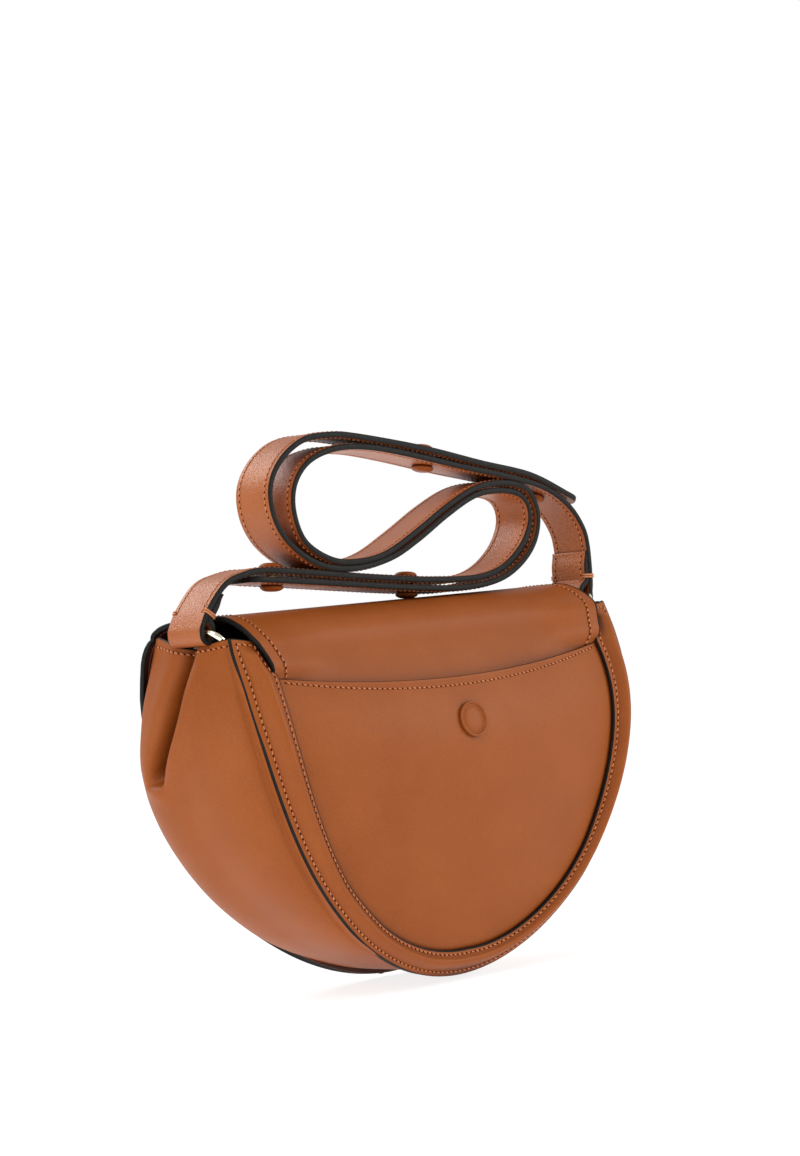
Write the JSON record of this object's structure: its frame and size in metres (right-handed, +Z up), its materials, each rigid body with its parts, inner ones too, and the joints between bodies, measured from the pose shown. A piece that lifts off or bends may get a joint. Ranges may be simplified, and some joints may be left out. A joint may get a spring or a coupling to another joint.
{
  "type": "saddle handbag",
  "caption": "Half-moon saddle handbag with a deep gusset, a rear slip pocket, a front flap on a magnetic snap, wire rings and a wide strap wound above the flap.",
  "frame": {"origin": "on the floor, in the middle of the width, on the middle plane of the ring bars", "axes": "+X along the width, +Y towards the rear slip pocket, the flap hangs towards -Y, +Z up"},
  "size_m": [0.2714, 0.1117, 0.2676],
  "materials": {
    "leather": "smooth grained tan leather",
    "strap_leather": "smooth tan leather with a light polish",
    "covered_stud": "tan leather stretched over a cap",
    "body_lining": "plain brown woven lining",
    "flap_lining": "thin dark red-brown leather lining",
    "gold_wire": "polished pale gold plating",
    "gold_stud": "polished gold plating",
    "snap_steel": "plain nickel-plated steel"
  },
  "bodies": {
    "bag": {"back_panel": "leather", "pocket_panel": "leather", "back_band": "leather", "front_panel": "leather", "gusset": "leather", "lining_back": "body_lining", "lining_front": "body_lining", "lining_gusset": "body_lining", "flap_top": "leather", "panel_snap": "snap_steel", "pocket_button": "covered_stud", "pocket_magnet": "snap_steel", "back_magnet": "snap_steel", "ring_tab_left": "leather", "ring_tab_right": "leather"},
    "flap": {"flap_front": "leather", "flap_lining": "flap_lining", "flap_snap": "snap_steel", "flap_dome": "gold_stud"},
    "strap": {"strap_left": "strap_leather", "strap_right": "strap_leather", "snap_caps": "covered_stud", "snap_posts": "gold_stud"},
    "ring_left_body": {"ring_left": "gold_wire"},
    "ring_right_body": {"ring_right": "gold_wire"}
  },
  "joints": [
    {"name": "flap_hinge", "type": "hinge", "parent": "bag", "child": "flap", "pos_m": [0, -0.01708, 0.18398], "axis": [-1, 0, 0], "range_deg": [0, 110]},
    {"name": "strap_sway", "type": "slide", "parent": "bag", "child": "strap", "axis": [1, 0, 0], "range_m": [-0.0009, 0.0009]},
    {"name": "ring_left_swing", "type": "hinge", "parent": "bag", "child": "ring_left_body", "pos_m": [0.118, 0, 0.1688], "axis": [0, 1, 0], "range_deg": [-6, 6]},
    {"name": "ring_right_swing", "type": "hinge", "parent": "bag", "child": "ring_right_body", "pos_m": [-0.118, 0, 0.1688], "axis": [0, 1, 0], "range_deg": [-6, 6]}
  ],
  "couplings": [
    {"joint": "ring_left_swing", "follows": "strap_sway", "rad_per_m": 105.54},
    {"joint": "ring_right_swing", "follows": "strap_sway", "rad_per_m": 105.54}
  ]
}
